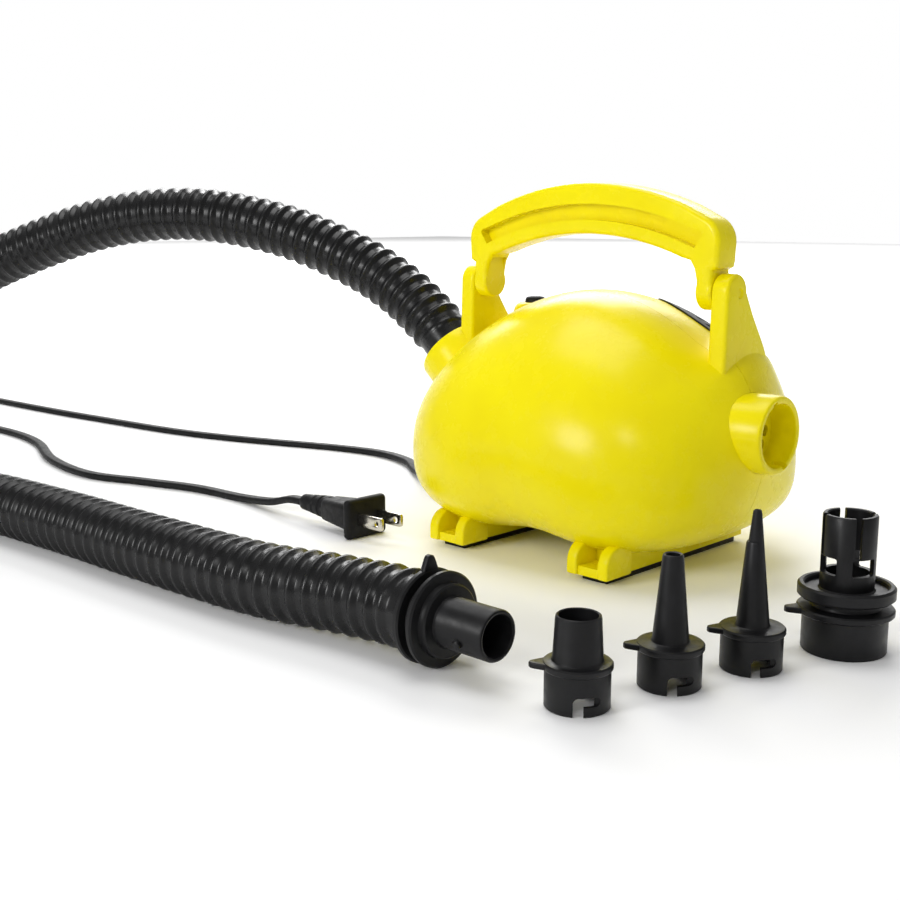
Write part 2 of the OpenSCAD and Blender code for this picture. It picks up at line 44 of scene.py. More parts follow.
# ---- camera ---------------------------------------------------------------------
CAMERA_AT = (0.36173, -0.46667, 0.15683)
CAMERA_LOOKS_DOWN = 10.69
CAMERA_TURN = 44.19
LENS = 50.0


def make_camera():
    lens = bpy.data.cameras.new("camera")
    lens.lens = LENS
    lens.sensor_width = 36.0
    lens.clip_start = 0.01
    lens.clip_end = 20.0
    camera = bpy.data.objects.new("camera", lens)
    bpy.context.scene.collection.objects.link(camera)
    camera.location = CAMERA_AT
    camera.rotation_euler = (math.radians(90 - CAMERA_LOOKS_DOWN), 0, math.radians(CAMERA_TURN))
    bpy.context.scene.camera = camera


# ---- colours and nodes ------------------------------------------------------------
def tone(code):
    """An sRGB hex colour as the linear colour that a shader takes."""
    parts = [int(code[k:k + 2], 16) / 255 for k in (1, 3, 5)]
    return (*[p / 12.92 if p <= 0.04045 else ((p + 0.055) / 1.055) ** 2.4 for p in parts], 1.0)


def put(tree, kind, feeds=(), **settings):
    """Adds a node. Settings that start with a capital are its inputs; feeds join outputs to inputs."""
    made = tree.nodes.new(kind)
    for key, value in settings.items():
        if key[0].isupper():
            made.inputs[key.replace("_", " ")].default_value = value
        else:
            setattr(made, key, value)
    for socket, source in feeds:
        tree.links.new(source, made.inputs[socket])
    return made


def ramp(tree, source, stops):
    """A colour ramp fed by source, with a hex colour at each stop."""
    made = put(tree, "ShaderNodeValToRGB", [("Fac", source)])
    made.color_ramp.elements[0].position = stops[0][0]
    made.color_ramp.elements[1].position = stops[-1][0]
    for place, _ in stops[1:-1]:
        made.color_ramp.elements.new(place)
    for element, (_, colour) in zip(made.color_ramp.elements, stops):
        element.color = tone(colour)
    return made.outputs["Color"]


def start_material(name, **constants):
    """A material with its shader; the constants are set on the shader's own sockets."""
    material = bpy.data.materials.new(name)
    material.use_nodes = True
    tree = material.node_tree
    tree.nodes.clear()
    shader = put(tree, "ShaderNodeBsdfPrincipled", **constants)
    out = put(tree, "ShaderNodeOutputMaterial", [("Surface", shader.outputs["BSDF"])])
    out.location = (300, 0)
    where = put(tree, "ShaderNodeTexCoord").outputs["Object"]
    return material, tree, shader, where


def join(tree, source, shader, socket):
    tree.links.new(source, shader.inputs[socket])


def moulded(name, dark, mid, light, rough, grain_mm, texture_mm, depth_mm, scuff=0.0, **constants):
    """Moulded plastic or rubber: slow colour drift, uneven gloss and a fine skin texture."""
    material, tree, shader, where = start_material(name, **constants)
    drift = put(tree, "ShaderNodeTexNoise", [("Vector", where)],
                Scale=1 / (grain_mm * MM), Detail=3.0, Roughness=0.55)
    join(tree, ramp(tree, drift.outputs["Fac"], [(0.3, dark), (0.5, mid), (0.72, light)]),
         shader, "Base Color")
    gloss = put(tree, "ShaderNodeTexNoise", [("Vector", where)],
                Scale=1 / (grain_mm * 0.3 * MM), Detail=5.0, Roughness=0.65)
    spread = put(tree, "ShaderNodeMapRange", [("Value", gloss.outputs["Fac"])],
                 From_Min=0.3, From_Max=0.7, To_Min=rough * 0.85, To_Max=rough * 1.2 + scuff)
    join(tree, spread.outputs["Result"], shader, "Roughness")
    skin_grain = put(tree, "ShaderNodeTexNoise", [("Vector", where)],
                     Scale=1 / (texture_mm * MM), Detail=2.0)
    relief = put(tree, "ShaderNodeBump", [("Height", skin_grain.outputs["Fac"])],
                 Strength=0.5, Distance=depth_mm * MM)
    join(tree, relief.outputs["Normal"], shader, "Normal")
    return material


def metal(name, dark, light, rough, stretch, line_mm, depth_mm):
    """Bare metal with fine lines; stretch is the way that the lines run, longest along the lines."""
    material, tree, shader, where = start_material(name, Metallic=1.0)
    laid = put(tree, "ShaderNodeMapping", [("Vector", where)], Scale=stretch)
    lines = put(tree, "ShaderNodeTexNoise", [("Vector", laid.outputs["Vector"])],
                Scale=1 / (line_mm * MM), Detail=4.0, Roughness=0.6)
    join(tree, ramp(tree, lines.outputs["Fac"], [(0.3, dark), (0.7, light)]), shader, "Base Color")
    spread = put(tree, "ShaderNodeMapRange", [("Value", lines.outputs["Fac"])],
                 From_Min=0.3, From_Max=0.7, To_Min=rough * 0.8, To_Max=rough * 1.3)
    join(tree, spread.outputs["Result"], shader, "Roughness")
    relief = put(tree, "ShaderNodeBump", [("Height", lines.outputs["Fac"])],
                 Strength=0.4, Distance=depth_mm * MM)
    join(tree, relief.outputs["Normal"], shader, "Normal")
    return material


def make_materials():
    """The finishes of the pump, by the name of what each is made of."""
    made = {}
    # Yellow ABS, moulded in a polished tool: glossy, with a faint ripple in the reflections.
    made["yellow_abs"] = moulded("yellow_abs_moulded_gloss", "#EEDC00", "#F2E200", "#F5E700",
                                 0.26, 45, 1.6, 0.006, IOR=1.53, Specular_IOR_Level=0.2)
    # Black ABS and polypropylene fittings: satin from a lightly etched tool.
    made["black_plastic"] = moulded("black_pp_moulded_satin", "#0E0E0F", "#131314", "#19191B",
                                    0.36, 14, 0.5, 0.012, scuff=0.06, IOR=1.49,
                                    Specular_IOR_Level=0.25)
    # Soft PVC of the hose: shinier than the fittings, with drawn marks from the winding.
    made["black_hose"] = moulded("black_pvc_wound_gloss", "#070708", "#0C0C0D", "#121213",
                                 0.26, 18, 1.6, 0.02, scuff=0.04, IOR=1.53,
                                 Specular_IOR_Level=0.3)
    # Rubber of the pads and the flexible PVC of the cord: dull, with a fine matt grain.
    made["black_rubber"] = moulded("black_rubber_matt", "#0B0B0C", "#101011", "#161617",
                                   0.5, 10, 0.35, 0.02, scuff=0.08, IOR=1.52,
                                   Specular_IOR_Level=0.2)
    # Natural polyamide of the diffuser: cream white and a little waxy.
    made["natural_nylon"] = moulded("natural_polyamide_moulded", "#D2CDBE", "#DCD8CA", "#E4E1D6",
                                    0.42, 12, 0.6, 0.02, IOR=1.53)
    # Glass-filled polyamide of the impeller: dark, with fibres that dull the skin.
    made["fan_nylon"] = moulded("black_glass_filled_polyamide", "#1A1B1D", "#232426", "#303134",
                                0.5, 6, 0.25, 0.03, IOR=1.53)
    # Zinc-plated steel: pale grey, with faint turning lines.
    made["zinc_steel"] = metal("zinc_plated_steel", "#A9AEB2", "#C6CACD", 0.3, (1, 9, 9), 3.0, 0.006)
    # Laminated core steel: bluish grey sheets stacked along the shaft, 0.5 mm each.
    made["core_steel"] = metal("laminated_core_steel", "#5F6367", "#90959A", 0.42, (14, 1, 1), 7.0, 0.03)
    # Enamelled copper wire, wound side by side, 0.5 mm thick.
    made["copper"] = metal("enamelled_copper_wire", "#8E4A22", "#C9773F", 0.34, (2, 14, 14), 6.0, 0.05)
    # Drawn brass of the brush holders.
    made["brass"] = metal("drawn_brass", "#A9873C", "#CDB064", 0.32, (8, 1, 1), 4.0, 0.006)
    # Nickel-plated brass of the plug's blades: bright, polished, with faint drawn lines.
    made["nickel"] = metal("nickel_plated_brass", "#B9B5A8", "#DAD6CB", 0.2, (1, 8, 8), 3.0, 0.003)
    return made


# ---- modelling helpers --------------------------------------------------------------
def rest():
    """Leaves edit mode and deselects everything."""
    if bpy.context.object and bpy.context.object.mode != "OBJECT":
        bpy.ops.object.mode_set(mode="OBJECT")
    bpy.ops.object.select_all(action="DESELECT")


def hold(part):
    """Makes one piece the only selected and active one."""
    rest()
    part.select_set(True)
    bpy.context.view_layer.objects.active = part


def moved(part, at=(0, 0, 0), turn=(0, 0, 0)):
    """Turns a piece by degrees, then moves it, and keeps both in its mesh."""
    part.rotation_euler = [math.radians(a) for a in turn]
    part.location = at
    hold(part)
    bpy.ops.object.transform_apply(location=True, rotation=True, scale=True)
    return part


def shade(part, angle=34):
    """Shades a piece smooth except across edges sharper than the angle."""
    hold(part)
    bpy.ops.object.shade_smooth_by_angle(angle=math.radians(angle))


def add(shape, at=(0, 0, 0), turn=(0, 0, 0), size=(1, 1, 1), **settings):
    """Adds a primitive of that size at its place, with its place kept in its mesh."""
    rest()
    getattr(bpy.ops.mesh, f"primitive_{shape}_add")(**settings)
    part = bpy.context.object
    part.scale = size
    part.rotation_euler = [math.radians(a) for a in turn]
    part.location = at
    bpy.ops.object.transform_apply(location=True, rotation=True, scale=True)
    return part


def block(low, high):
    """A cube primitive between two corners."""
    middle = [(a + b) / 2 for a, b in zip(low, high)]
    return add("cube", at=middle, size=[(b - a) / 2 for a, b in zip(low, high)])


# ---- cord and hose routes -----------------------------------------------------------
def smooth(points, steps):
    """A smooth curve through the points, steps to each stretch."""
    line = [Vector(p) for p in points]
    last = len(line) - 1
    made = []
    for i in range(last):
        a, b, c, d = (line[max(0, min(last, i + k))] for k in (-1, 0, 1, 2))
        for k in range(steps):
            f = k / steps
            made.append(0.5 * (2 * b + (c - a) * f + (2 * a - 5 * b + 4 * c - d) * f * f
                               + (3 * b - a - 3 * c + d) * f ** 3))
    return made + [line[-1]]


def even(line, gap):
    """The same curve with points a fixed distance apart."""
    made, left = [line[0].copy()], gap
    for a, b in zip(line, line[1:]):
        span = (b - a).length
        at = left
        while at <= span:
            made.append(a.lerp(b, at / span))
            at += gap
        left = at - span
    if (made[-1] - line[-1]).length < gap / 2:
        made.pop()
    return made + [line[-1].copy()]


def run_length(line):
    return sum((b - a).length for a, b in zip(line, line[1:]))


def swept(name, line, section):
    """A closed skin along a line; section(k, distance) gives the ring of (side, up) offsets."""
    mesh = bpy.data.meshes.new(name)
    points, faces, gone = [], [], 0.0
    last = len(line) - 1
    for k, p in enumerate(line):
        gone += (p - line[max(0, k - 1)]).length
        ahead = (line[min(last, k + 1)] - line[max(0, k - 1)]).normalized()
        side = ahead.cross(Vector((0, 0, 1))).normalized()
        up = side.cross(ahead)
        ring = section(k, gone)
        points += [p + a * side + b * up for a, b in ring]
    n = len(ring)
    for k in range(last):
        for j in range(n):
            a, b = k * n + j, k * n + (j + 1) % n
            faces.append((a, b, b + n, a + n))
    faces.append(tuple(reversed(range(n))))
    faces.append(tuple(range(last * n, last * n + n)))
    mesh.from_pydata(points, [], faces)
    part = bpy.data.objects.new(name, mesh)
    bpy.context.scene.collection.objects.link(part)
    hold(part)
    bpy.ops.object.mode_set(mode="EDIT")
    bpy.ops.mesh.select_all(action="SELECT")
    bpy.ops.mesh.normals_make_consistent(inside=False)
    bpy.ops.object.mode_set(mode="OBJECT")
    return part


OUTLET_RIM = Vector((-90, 1, 88))
OUTLET_TILT = math.radians(42)
OUTLET_WAY = Vector((-math.cos(OUTLET_TILT), 0, math.sin(OUTLET_TILT)))
HOSE_WIDTH = 30.0
HOSE_PITCH = 8.0
HOSE_ROUTE = [
    OUTLET_RIM, OUTLET_RIM + 8 * OUTLET_WAY, OUTLET_RIM + 16 * OUTLET_WAY,
    (-128, -1, 117), (-160, -8, 133), (-205, -24, 149), (-258, -46, 157), (-313, -70, 151),
    (-377, -98, 130), (-430, -114, 108), (-485, -126, 82), (-538, -146, 55), (-580, -184, 32),
    (-600, -236, 19), (-592, -290, 15), (-556, -336, 15), (-500, -358, 15), (-442, -348, 15),
    (-392, -312, 15), (-350, -264, 15), (-304, -219, 15), (-246, -192, 15), (-170, -184, 15),
    (-100, -182, 15), (-28, -178, 15), (16, -171, 16.4), (44, -168, 17.4), (52, -168, 17.4),
    (60, -168, 17.4)]
CORD_WIDTH = 6.6
CORD_THICK = 3.9
COIL_AT = Vector((-722, -22, 0))
COIL_R = 38.0
CORD_OUT = [
    (-108, 20, 25), (-116, 20.6, 24.4), (-126, 25, 21), (-146, 37, 11), (-172, 54, 3.6),
    (-200, 72, 3), (-234, 80, 2.4), (-272, 74, 2), (-318, 58, 2), (-362, 44, 2), (-410, 34, 2),
    (-470, 28, 2), (-540, 22, 2), (-620, 18, 2), (-696, 16, 2)]
CORD_BACK = [
    (-696, -60, 9.6), (-650, -60, 5), (-600, -58, 2.2), (-540, -52, 2), (-480, -50, 2),
    (-430, -58, 2), (-370, -80, 2), (-313, -88, 2), (-270, -76, 2), (-232, -65, 2),
    (-196, -62, 2), (-164, -64, 5), (-146, -65, 9.4), (-134, -65, 10)]


def make_hose(material):
    """The corrugated hose: round ribs at an even pitch between two plain cuffs."""
    line = even(smooth(HOSE_ROUTE, 12), 1.0)
    sides = 36
    total = run_length(line)
    cuff = 9.0

    def rib(_, gone):
        swell = max(0.0, math.cos(2 * math.pi * (gone - cuff) / HOSE_PITCH)) ** 0.7
        tail = min(1.0, max(0.0, gone - cuff) / 3, max(0.0, total - 4 - gone) / 3)
        radius = HOSE_WIDTH / 2 - 1.9 + 1.9 * swell * tail
        return [(radius * math.cos(2 * math.pi * j / sides), radius * math.sin(2 * math.pi * j / sides))
                for j in range(sides)]

    hose = swept("corrugated_hose", line, rib)
    bpy.ops.object.shade_smooth()
    place(hose, "corrugated_hose", BODY, "black_hose", ["hose_tube"], material)
    return hose, [p * MM for p in line[::8] + [line[-1]]]


def make_cord(material):
    """The flat two-core cord, which rolls flat as it leaves its boot and is coiled far out."""
    first = smooth(CORD_OUT, 8)
    turns = []
    for k in range(1, 90):
        angle = math.radians(90 + k * 10)
        rise = 2 + 3.9 * max(0, min(2.2, (k - 18) / 30))
        turns.append(COIL_AT + Vector((COIL_R * math.cos(angle), COIL_R * math.sin(angle), rise)))
    into = [Vector((COIL_AT.x, COIL_AT.y + COIL_R, 2))]
    back = smooth([(COIL_AT.x, COIL_AT.y - COIL_R, 10.6)] + CORD_BACK, 8)
    line = even(first + into + turns + back, 3.0)
    lobe = CORD_THICK / 2
    apart = CORD_WIDTH / 2 - lobe

    def flat(_, gone):
        roll = math.radians(80) * max(0, 1 - gone / 120) ** 1.5
        ring = []
        for j in range(20):
            angle = 2 * math.pi * j / 20
            a = apart * (1 if math.cos(angle) > 0 else -1) + lobe * math.cos(angle)
            b = lobe * math.sin(angle)
            if abs(math.cos(angle)) < 0.05:
                a, b = 0.0, b * 0.72
            ring.append((a * math.cos(roll) - b * math.sin(roll), a * math.sin(roll) + b * math.cos(roll)))
        return ring

    cord = swept("flat_mains_cord", line, flat)
    bpy.ops.object.shade_smooth()
    place(cord, "flat_mains_cord", BODY, "black_rubber", ["cord_tube", "cord_coil"], material)
    return cord, [p * MM for p in line[::2] + [line[-1]]]


def place(part, name, body, slot, stands_for, material):
    """Brings a finished piece to metres, joins it to its body, gives it its finish and hides the CAD nodes
    that it stands for.
    """
    part.name = name
    part.data.name = name
    part.data.transform(Matrix.Scale(MM, 4))
    part.data.materials.clear()
    part.data.materials.append(material)
    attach(part, body)
    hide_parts(*stands_for)


def edit(part, mode="FACE"):
    """Opens a piece for editing with nothing selected."""
    hold(part)
    bpy.ops.object.mode_set(mode="EDIT")
    bpy.ops.mesh.select_mode(type=mode)
    bpy.ops.mesh.select_all(action="DESELECT")


def pick(part, test, mode="FACE"):
    """Selects the faces or edges whose middle and direction pass the test."""
    mesh = bmesh.from_edit_mesh(part.data)
    for item in {"FACE": mesh.faces, "EDGE": mesh.edges}[mode]:
        if mode == "FACE":
            item.select_set(bool(test(item.calc_center_median(), item.normal)))
        else:
            ends = [v.co for v in item.verts]
            item.select_set(bool(test((ends[0] + ends[1]) / 2, (ends[1] - ends[0]).normalized())))
    mesh.select_flush_mode()
    bmesh.update_edit_mesh(part.data)


def modify(part, kind, **settings):
    """Adds one modifier and applies it."""
    hold(part)
    made = part.modifiers.new(kind.title(), kind)
    for key, value in settings.items():
        setattr(made, key, value)
    bpy.ops.object.modifier_apply(modifier=made.name)


def round_edges(part, width, segments, angle):
    """Rounds the edges that are sharper than the angle."""
    modify(part, "BEVEL", width=width, segments=segments, limit_method="ANGLE",
           angle_limit=math.radians(angle))


def carve(part, tool, how="DIFFERENCE"):
    """Cuts the tool out of a piece, joins it on, or keeps what both share; the tool is used up."""
    modify(part, "BOOLEAN", operation=how, object=tool, solver="EXACT")
    bpy.data.objects.remove(tool, do_unlink=True)
    return part


def ease(part, width, segments=3, angle=40):
    """Rounds the sharp edges and shades the piece smooth between those left."""
    modify(part, "BEVEL", width=width, segments=segments, limit_method="ANGLE",
           angle_limit=math.radians(angle), miter_outer="MITER_ARC")
    shade(part, 32)
    return part


def tidy_normals(part):
    edit(part)
    bpy.ops.mesh.select_all(action="SELECT")
    bpy.ops.mesh.remove_doubles(threshold=0.002)
    bpy.ops.mesh.normals_make_consistent(inside=False)
    bpy.ops.object.mode_set(mode="OBJECT")
    return part


def turned(profile, at=(0, 0, 0), turn=(0, 0, 0), sides=72):
    """A turned shape: a ring pulled through each (radius, height); open ends are capped."""
    rest()
    bpy.ops.mesh.primitive_circle_add(vertices=sides, radius=profile[0][0],
                                      location=(0, 0, profile[0][1]))
    part = bpy.context.object
    bpy.ops.object.transform_apply(location=True, rotation=True, scale=True)
    edit(part, "EDGE")
    bpy.ops.mesh.select_all(action="SELECT")
    for (r0, z0), (r1, z1) in zip(profile, profile[1:]):
        bpy.ops.mesh.extrude_edges_move(TRANSFORM_OT_translate={"value": (0, 0, z1 - z0)})
        grow = r1 / r0
        bpy.ops.transform.resize(value=(grow, grow, 1), center_override=(0, 0, z1))
    if profile[0] != profile[-1]:
        bpy.ops.mesh.select_all(action="SELECT")
        bpy.ops.mesh.fill_holes(sides=0)
    bpy.ops.object.mode_set(mode="OBJECT")
    return moved(tidy_normals(part), at, turn)


def plate(outline, depth, at=(0, 0, 0), turn=(0, 0, 0)):
    """A flat plate: a ring whose points are set on the outline, filled and pulled up to its depth."""
    rest()
    bpy.ops.mesh.primitive_circle_add(vertices=len(outline), radius=1, fill_type="NGON")
    part = bpy.context.object
    for point, (x, y) in zip(part.data.vertices, outline):
        point.co = (x, y, 0)
    edit(part)
    bpy.ops.mesh.select_all(action="SELECT")
    bpy.ops.mesh.extrude_region_move(TRANSFORM_OT_translate={"value": (0, 0, depth)})
    bpy.ops.object.mode_set(mode="OBJECT")
    return moved(tidy_normals(part), at, turn)


def rod(radius, length, at, turn=(0, 0, 0), sides=64):
    """A plain cylinder that starts at a point; used to cut holes."""
    part = add("cylinder", at=(0, 0, length / 2), vertices=sides, radius=radius, depth=length)
    return moved(part, at, turn)


ALONG_X = (0, 90, 0)
ALONG_Y = (-90, 0, 0)
SPLIT = 1.0
SHAFT_Z = 65.0


def on_outlet(distance):
    return OUTLET_RIM + distance * OUTLET_WAY


ALONG_OUTLET = (0, math.degrees(OUTLET_TILT) - 90, 0)

# ---- housing form ---------------------------------------------------------------------
BODY_LONG, BODY_DEEP, WAIST, CROWN, BELLY = 180.0, 146.0, 45.0, 122.0, 4.0
BODY_Y, ARCH, NARROW, WALL = 8.0, 7.0, 9.0, 2.6
DIP, SHOULDER_RIGHT, SHOULDER_LEFT, SWELL = 6, 15, 8, 7


def power(v, e):
    return math.copysign(abs(v) ** e, v) if v else 0.0


def fall(u, m):
    return max(0.0, 1 - abs(u) ** m) ** (1 / m)


def hump(v, s):
    return math.exp(-(v / s) ** 2)


def skin(u, t, inset):
    """A point of the housing: u from end to end, t round the section, inset inwards."""
    up = math.sin(t) > 0
    n = 2.1 if up else 3.0
    high = (CROWN - WAIST if up else WAIST - BELLY) - inset
    z = WAIST + high * fall(u, 2.0 if up else 2.5) * power(math.sin(t), 2 / n)
    narrow = NARROW * max(0.0, (z - WAIST) / (CROWN - WAIST)) ** 2
    x = (BODY_LONG / 2 - inset - narrow) * u
    side = fall(u, 2.7) * power(math.cos(t), 2 / n)
    y = BODY_Y + (BODY_DEEP / 2 - inset - narrow) * side
    dip = DIP * hump(x - 4, 30) * hump(z - 14, 26) * max(0.0, -math.cos(t))
    lift = ARCH * hump(x, 30) * max(0.0, -math.sin(t))
    shoulder = (SHOULDER_RIGHT if x > 0 else SHOULDER_LEFT) * hump(abs(x) - 77, 11) * hump(y - 22, 34)
    shoulder *= min(1.0, max(0.0, (z - 55) / 25))
    reach = math.hypot(y - SPLIT, z - SHAFT_Z)
    swell = SWELL * hump(reach, 20) * hump(x - 90, 20) if x > 0 else 0.0
    return (x + swell, y + dip, z + lift + shoulder)


def form(inset, segments=160, rings=112):
    """A sphere primitive whose points are moved onto the housing's form."""
    part = add("uv_sphere", turn=(0, 90, 0), segments=segments, ring_count=rings, radius=1)
    for point in part.data.vertices:
        x, y, z = point.co
        point.co = skin(max(-1.0, min(1.0, x)), math.atan2(z, y), inset)
    return tidy_normals(part)


def copy_of(part):
    """A second piece with its own mesh."""
    twin = part.copy()
    twin.data = part.data.copy()
    bpy.context.scene.collection.objects.link(twin)
    return twin


SEAM = 0.12
SWITCH_AT = (-51, 20, 0)
VENT_AT = (38, 34, 60)
VENT_TURN = -10
CORD_EXIT = (-108, 20, 25)
RUNNER_X = 42.2


def shell_stock():
    """Both shells in one: the wall, the outlet's sleeve and the holes for the two ports."""
    part = carve(form(0.0), rod(19, 24, on_outlet(-30), ALONG_OUTLET, 96), "UNION")
    carve(part, form(WALL))
    carve(part, rod(16.7, 60, on_outlet(-48), ALONG_OUTLET, 96))
    carve(part, rod(17.2, 40, (66, SPLIT, SHAFT_Z), ALONG_X, 96))
    return part


EAR_IN, EAR_THICK, HINGE_Z, EAR_R = 69.0, 8.5, 124.0, 8.0


def ear(side):
    """One ear: a rounded plate with eased edges and a blind dimple over the pin."""
    outline = [(SPLIT - 9, 84), (SPLIT + 33, 84), (SPLIT + 24, 100), (SPLIT + 14, 114)]
    outline += [(SPLIT + EAR_R * math.cos(math.radians(a)), HINGE_Z + EAR_R * math.sin(math.radians(a)))
                for a in range(0, 181, 9)]
    part = plate(outline, EAR_THICK, at=(EAR_IN, 0, 0), turn=(90, 0, 90))
    round_edges(part, 1.7, 5, 50)
    carve(part, turned([(1.9, 0), (2.7, 1.2)], (EAR_IN + EAR_THICK - 0.7, SPLIT + 2, HINGE_Z - 0.5),
                       ALONG_X, 32))
    if side < 0:
        hold(part)
        part.scale = (-1, 1, 1)
        bpy.ops.object.transform_apply(location=True, rotation=True, scale=True)
        part = tidy_normals(part)
    return part


def make_shells(material):
    front = shell_stock()
    back = copy_of(front)
    carve(front, block((-200, SPLIT - SEAM, -50), (200, 200, 250)))
    for side in (-1, 1):
        carve(front, ear(side), "UNION")
    carve(front, rod(19.3, 9, on_outlet(-6), ALONG_OUTLET, 96))
    shade(front)
    place(front, "front_half", BODY, "yellow_abs", ["front_shell"], material)

    carve(back, block((-200, -200, -50), (200, SPLIT + SEAM, 250)))
    boss = turned([(11, 88), (11, 108.5), (10.4, 110.4), (9.2, 112), (7.6, 113), (5.3, 113), (5.3, 88)],
                  SWITCH_AT, sides=64)
    carve(back, rod(5.3, 60, (-51, 20, 80)))
    carve(back, boss, "UNION")
    bump = add("uv_sphere", at=(-34, 22, 107), segments=48, ring_count=24, radius=9)
    carve(back, bump, "UNION")
    oval = plate([(24 * math.cos(math.radians(a)), 15 * math.sin(math.radians(a)))
                  for a in range(0, 360, 5)], 80, VENT_AT, (0, 0, VENT_TURN))
    carve(back, oval)
    carve(back, rod(5.6, 60, (-110, 20, 25), ALONG_X, 48))
    shade(back)
    place(back, "back_half", BODY, "yellow_abs", ["rear_shell"], material)


def make_vent(material):
    """The black louvred vent, following the crown and standing a little proud of it."""
    vent = form(-0.8)
    carve(vent, form(1.8))
    oval = plate([(23.7 * math.cos(math.radians(a)), 14.7 * math.sin(math.radians(a)))
                  for a in range(0, 360, 5)], 80, VENT_AT, (0, 0, VENT_TURN))
    carve(vent, oval, "INTERSECT")
    turn = math.radians(VENT_TURN)
    for k in range(-2, 3):
        slot = block((-1.2, -9, 0), (1.2, 9, 80))
        round_edges(slot, 1.1, 4, 30)
        along = (VENT_AT[0] + 6 * k * math.cos(turn), VENT_AT[1] + 6 * k * math.sin(turn), VENT_AT[2])
        moved(slot, along, (0, 0, VENT_TURN))
        carve(vent, slot)
    shade(vent)
    place(vent, "crown_vent", BODY, "black_plastic", ["vent_grille"], material)


def make_button(material):
    cap = turned([(5.1, 103), (5.1, 114.2), (4.8, 115.1), (4.1, 115.7), (2.6, 116), (0.6, 116)],
                 SWITCH_AT, sides=48)
    shade(cap, 40)
    place(cap, "rubber_push_button", "button", "black_rubber", ["switch_button"], material)


# ---- ports ---------------------------------------------------------------------------------
def make_inlet(material):
    """The inlet collar: a rounded rim, a recessed grille with round holes and two notches."""
    rim = 100.7
    collar = turned([(17.1, 66), (17.1, rim - 1.4), (16.7, rim - 0.5), (15.9, rim), (14.7, rim),
                     (13.9, rim - 0.5), (13.7, rim - 1.4), (13.7, 88.4), (13, 88.2), (13, 60),
                     (15, 60), (15, 66), (17.1, 66)], (0, SPLIT, SHAFT_Z), ALONG_X, 96)
    screen = rod(13.9, 2.4, (86, SPLIT, SHAFT_Z), ALONG_X, 96)
    for k in range(8):
        angle = math.radians(45 * k)
        hole = rod(2.5, 6, (84, SPLIT + 8.6 * math.sin(angle), SHAFT_Z - 8.6 * math.cos(angle)),
                   ALONG_X, 32)
        carve(screen, hole)
    carve(screen, rod(3, 6, (84, SPLIT, SHAFT_Z), ALONG_X, 32))
    carve(collar, screen, "UNION")
    for angle in (20, 200):
        notch = block((rim - 6, -1.7, 12.2), (rim + 2, 1.7, 15.4))
        moved(notch, (0, SPLIT, SHAFT_Z), (angle, 0, 0))
        carve(collar, notch)
    ease(collar, 0.3, 2, 50)
    place(collar, "inlet_nozzle", BODY, "yellow_abs", ["inlet_collar"], material)


def make_outlet(material):
    collar = turned([(14.6, -26), (16.6, -26), (16.6, -6), (19, -6), (19, -1.3), (18.6, -0.4),
                     (17.8, 0), (15.6, 0), (14.9, -0.4), (14.6, -1.2), (14.6, -26)],
                    on_outlet(0), ALONG_OUTLET, 96)
    shade(collar)
    place(collar, "outlet_nozzle", BODY, "yellow_abs", ["outlet_collar"], material)


# ---- handle -----------------------------------------------------------------------------------
HANDLE_TOP, HANDLE_DEEP, ARM_OUT, ARM_IN = 171.0, 16.0, 68.7, 61.0


def arc_z(x, top, r):
    return top - r + math.sqrt(r * r - x * x)


def both_sides(middle, right):
    """A closed outline from its right half; middle holds the top and bottom points on the centre line."""
    left = [(-x, z) for x, z in reversed(right)]
    return [middle[0]] + right + [middle[1]] + left


def make_handle(material):
    right = [(x, arc_z(x, HANDLE_TOP, 148)) for x in range(6, 55, 6)]
    right += [(60.5 + 11.5 * math.cos(math.radians(a)), 145 + 11.5 * math.sin(math.radians(a)))
              for a in range(66, -1, -11)]
    right += [(71.7, 137), (71.2, 134.4), (ARM_OUT, 133.2), (ARM_OUT, HINGE_Z)]
    right += [(ARM_IN, HINGE_Z), (60.7, 129), (59.6, 133.6), (57.4, 137.2)]
    right += [(x, arc_z(x, HANDLE_TOP - 23, 149)) for x in range(53, 4, -6)]
    bow = plate(both_sides([(0, HANDLE_TOP), (0, HANDLE_TOP - 23)], right), HANDLE_DEEP,
                (0, SPLIT + HANDLE_DEEP / 2, 0), (90, 0, 0))
    edit(bow, "EDGE")
    pick(bow, lambda at, way: abs(way.y) < 0.5 and at.z > HINGE_Z + 0.5, "EDGE")
    bpy.ops.mesh.bevel(offset=2.6, segments=5, affect="EDGES", clamp_overlap=True)
    bpy.ops.object.mode_set(mode="OBJECT")
    groove = [(x, arc_z(x, HANDLE_TOP - 9.5, 165)) for x in range(0, 61, 6)]
    groove += [(62.6, 149.6), (63.6, 148.6), (63.4, 147.4)]
    groove += [(x, arc_z(x, HANDLE_TOP - 16.8, 160)) for x in (60, 54, 48, 42, 36, 30, 24, 18, 12, 6, 0)]
    outline = groove + [(-x, z) for x, z in reversed(groove[1:-1])]
    for y in (SPLIT - HANDLE_DEEP / 2 + 5, SPLIT + HANDLE_DEEP / 2 + 1):
        carve(bow, plate(outline, 6, (0, y, 0), (90, 0, 0)))
    for side in (-1, 1):
        knuckle = turned([(0.6, 0), (7.2, 0), (7.8, 0.5), (8, 1.2), (8, 6.5), (7.8, 7.2), (7.2, 7.7),
                          (0.6, 7.7)],
                         (side * ARM_OUT, SPLIT, HINGE_Z), (0, -90 * side, 0), 64)
        carve(bow, knuckle, "UNION")
        recess = plate([(-4.6, 0), (4.6, 0), (5.2, 6), (5.2, 17), (-5.2, 17), (-5.2, 6)], 2.2,
                       (side * (ARM_IN - 0.4), SPLIT, HINGE_Z - 2), (90, 0, 90))
        carve(bow, recess)
    shade(bow, 36)
    place(bow, "carry_handle", "handle", "yellow_abs", ["handle"], material)

